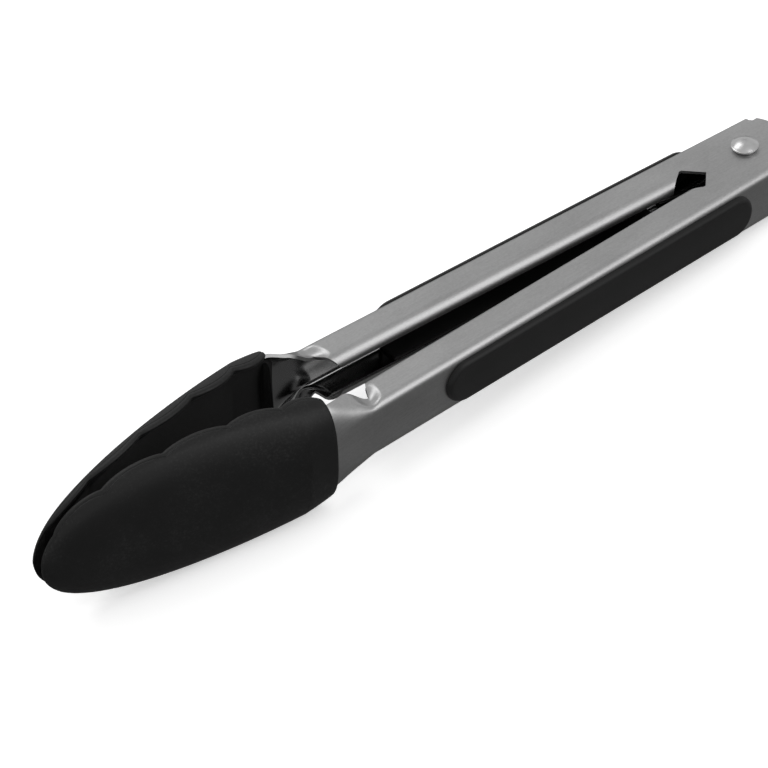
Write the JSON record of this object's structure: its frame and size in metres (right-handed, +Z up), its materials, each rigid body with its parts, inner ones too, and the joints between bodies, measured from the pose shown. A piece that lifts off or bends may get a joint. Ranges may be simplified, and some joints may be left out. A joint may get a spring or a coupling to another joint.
{
  "type": "spring loaded kitchen tongs",
  "caption": "Sheet steel kitchen tongs with soft scoop tips and grip pads, a coil spring at the rivet and a slide lock.",
  "frame": {"origin": "on the floor under the middle of the closed tongs' box", "axes": "+X from the tips to the hanging loop, +Y from the front arm to the rear arm, +Z up; the tongs lie on their side, tips and lower rivet head on the floor, so the rivet leans 3 degrees to +X"},
  "size_m": [0.2458, 0.0318, 0.0371],
  "materials": {
    "brushed_steel": "lengthwise brushed stainless sheet",
    "polished_steel": "polished stainless rivet",
    "spring_steel": "drawn stainless wire",
    "black_silicone": "soft satin silicone",
    "black_rubber": "satin soft-touch rubber",
    "black_plastic": "moulded nylon"
  },
  "bodies": {
    "hinge": {"pivot_rivet": "polished_steel", "pivot_bush": "brushed_steel", "torsion_spring": "spring_steel"},
    "front": {"front_arm": "brushed_steel", "front_tip": "black_silicone", "front_grip": "black_rubber", "front_grip_liner": "black_plastic"},
    "rear": {"rear_arm": "brushed_steel", "rear_tip": "black_silicone", "rear_grip": "black_rubber", "rear_grip_liner": "black_plastic"},
    "lock": {"lock_strap": "brushed_steel"}
  },
  "joints": [
    {"name": "front_hinge", "type": "hinge", "parent": "hinge", "child": "front", "pos_m": [0.08688, 0, 0.00974], "axis": [0.0527, 0, 0.9986], "range_deg": [0, 11], "stiffness_Nm_per_rad": 0.6, "springref_deg": 25.78, "deforming": ["torsion_spring"]},
    {"name": "rear_hinge", "type": "hinge", "parent": "hinge", "child": "rear", "pos_m": [0.08688, 0, 0.00974], "axis": [-0.0527, 0, -0.9986], "range_deg": [0, 11]},
    {"name": "lock_slide", "type": "slide", "parent": "hinge", "child": "lock", "axis": [-0.9986, 0, 0.0527], "range_m": [0, 0.008]}
  ],
  "couplings": [
    {"joint": "rear_hinge", "follows": "front_hinge", "ratio": 1},
    {"joint": "lock_slide", "follows": "front_hinge", "m_per_rad": 0.0416}
  ]
}
